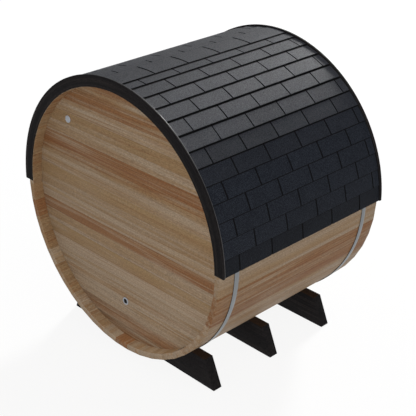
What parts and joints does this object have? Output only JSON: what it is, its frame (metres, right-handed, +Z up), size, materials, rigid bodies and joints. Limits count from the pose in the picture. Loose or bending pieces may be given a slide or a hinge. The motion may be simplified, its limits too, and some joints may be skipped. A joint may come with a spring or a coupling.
{
  "type": "barrel sauna",
  "caption": "Barrel sauna of wooden staves with recessed board ends, steel bands, a plank door, a shingled half-round roof between black arch boards, and saddle-cut cradles.",
  "frame": {"origin": "on the ground under the middle of the barrel", "axes": "+Z up, +Y along the barrel's axis towards the door end, +X to the right as seen from the plain end"},
  "size_m": [2.0742, 1.585, 2.1189],
  "materials": {
    "stave_wood": "planed, oiled",
    "wall_wood": "planed, oiled",
    "door_wood": "planed, oiled",
    "black_wood": "black stained",
    "deck_wood": "raw board",
    "shingle": "mineral granules on bitumen",
    "steel": "brushed",
    "black_steel": "matt black",
    "grey_plastic": "satin",
    "plug_rubber": "matt"
  },
  "bodies": {
    "root": {"staves_bottom": "stave_wood", "staves_lower_right": "stave_wood", "staves_right": "stave_wood", "staves_upper_right": "stave_wood", "staves_upper_left": "stave_wood", "staves_left": "stave_wood", "staves_lower_left": "stave_wood", "rear_wall": "wall_wood", "vent_cap": "grey_plastic", "cable_gland": "grey_plastic", "gland_plug": "plug_rubber", "front_wall": "wall_wood", "door_jamb_left": "door_wood", "door_jamb_right": "door_wood", "door_head": "door_wood", "door_sill": "door_wood", "door_leaf": "door_wood", "door_ledges": "door_wood", "door_hinges": "black_steel", "door_handle": "door_wood", "band_rear": "steel", "band_front": "steel", "band_bolts": "steel", "roof_deck_left": "deck_wood", "roof_deck_right": "deck_wood", "shingles_left": "shingle", "shingles_right": "shingle", "ridge_cap": "shingle", "roof_arch_rear": "black_wood", "roof_arch_front": "black_wood", "cradle_rear": "black_wood", "cradle_middle": "black_wood", "cradle_front": "black_wood"}
  },
  "joints": []
}
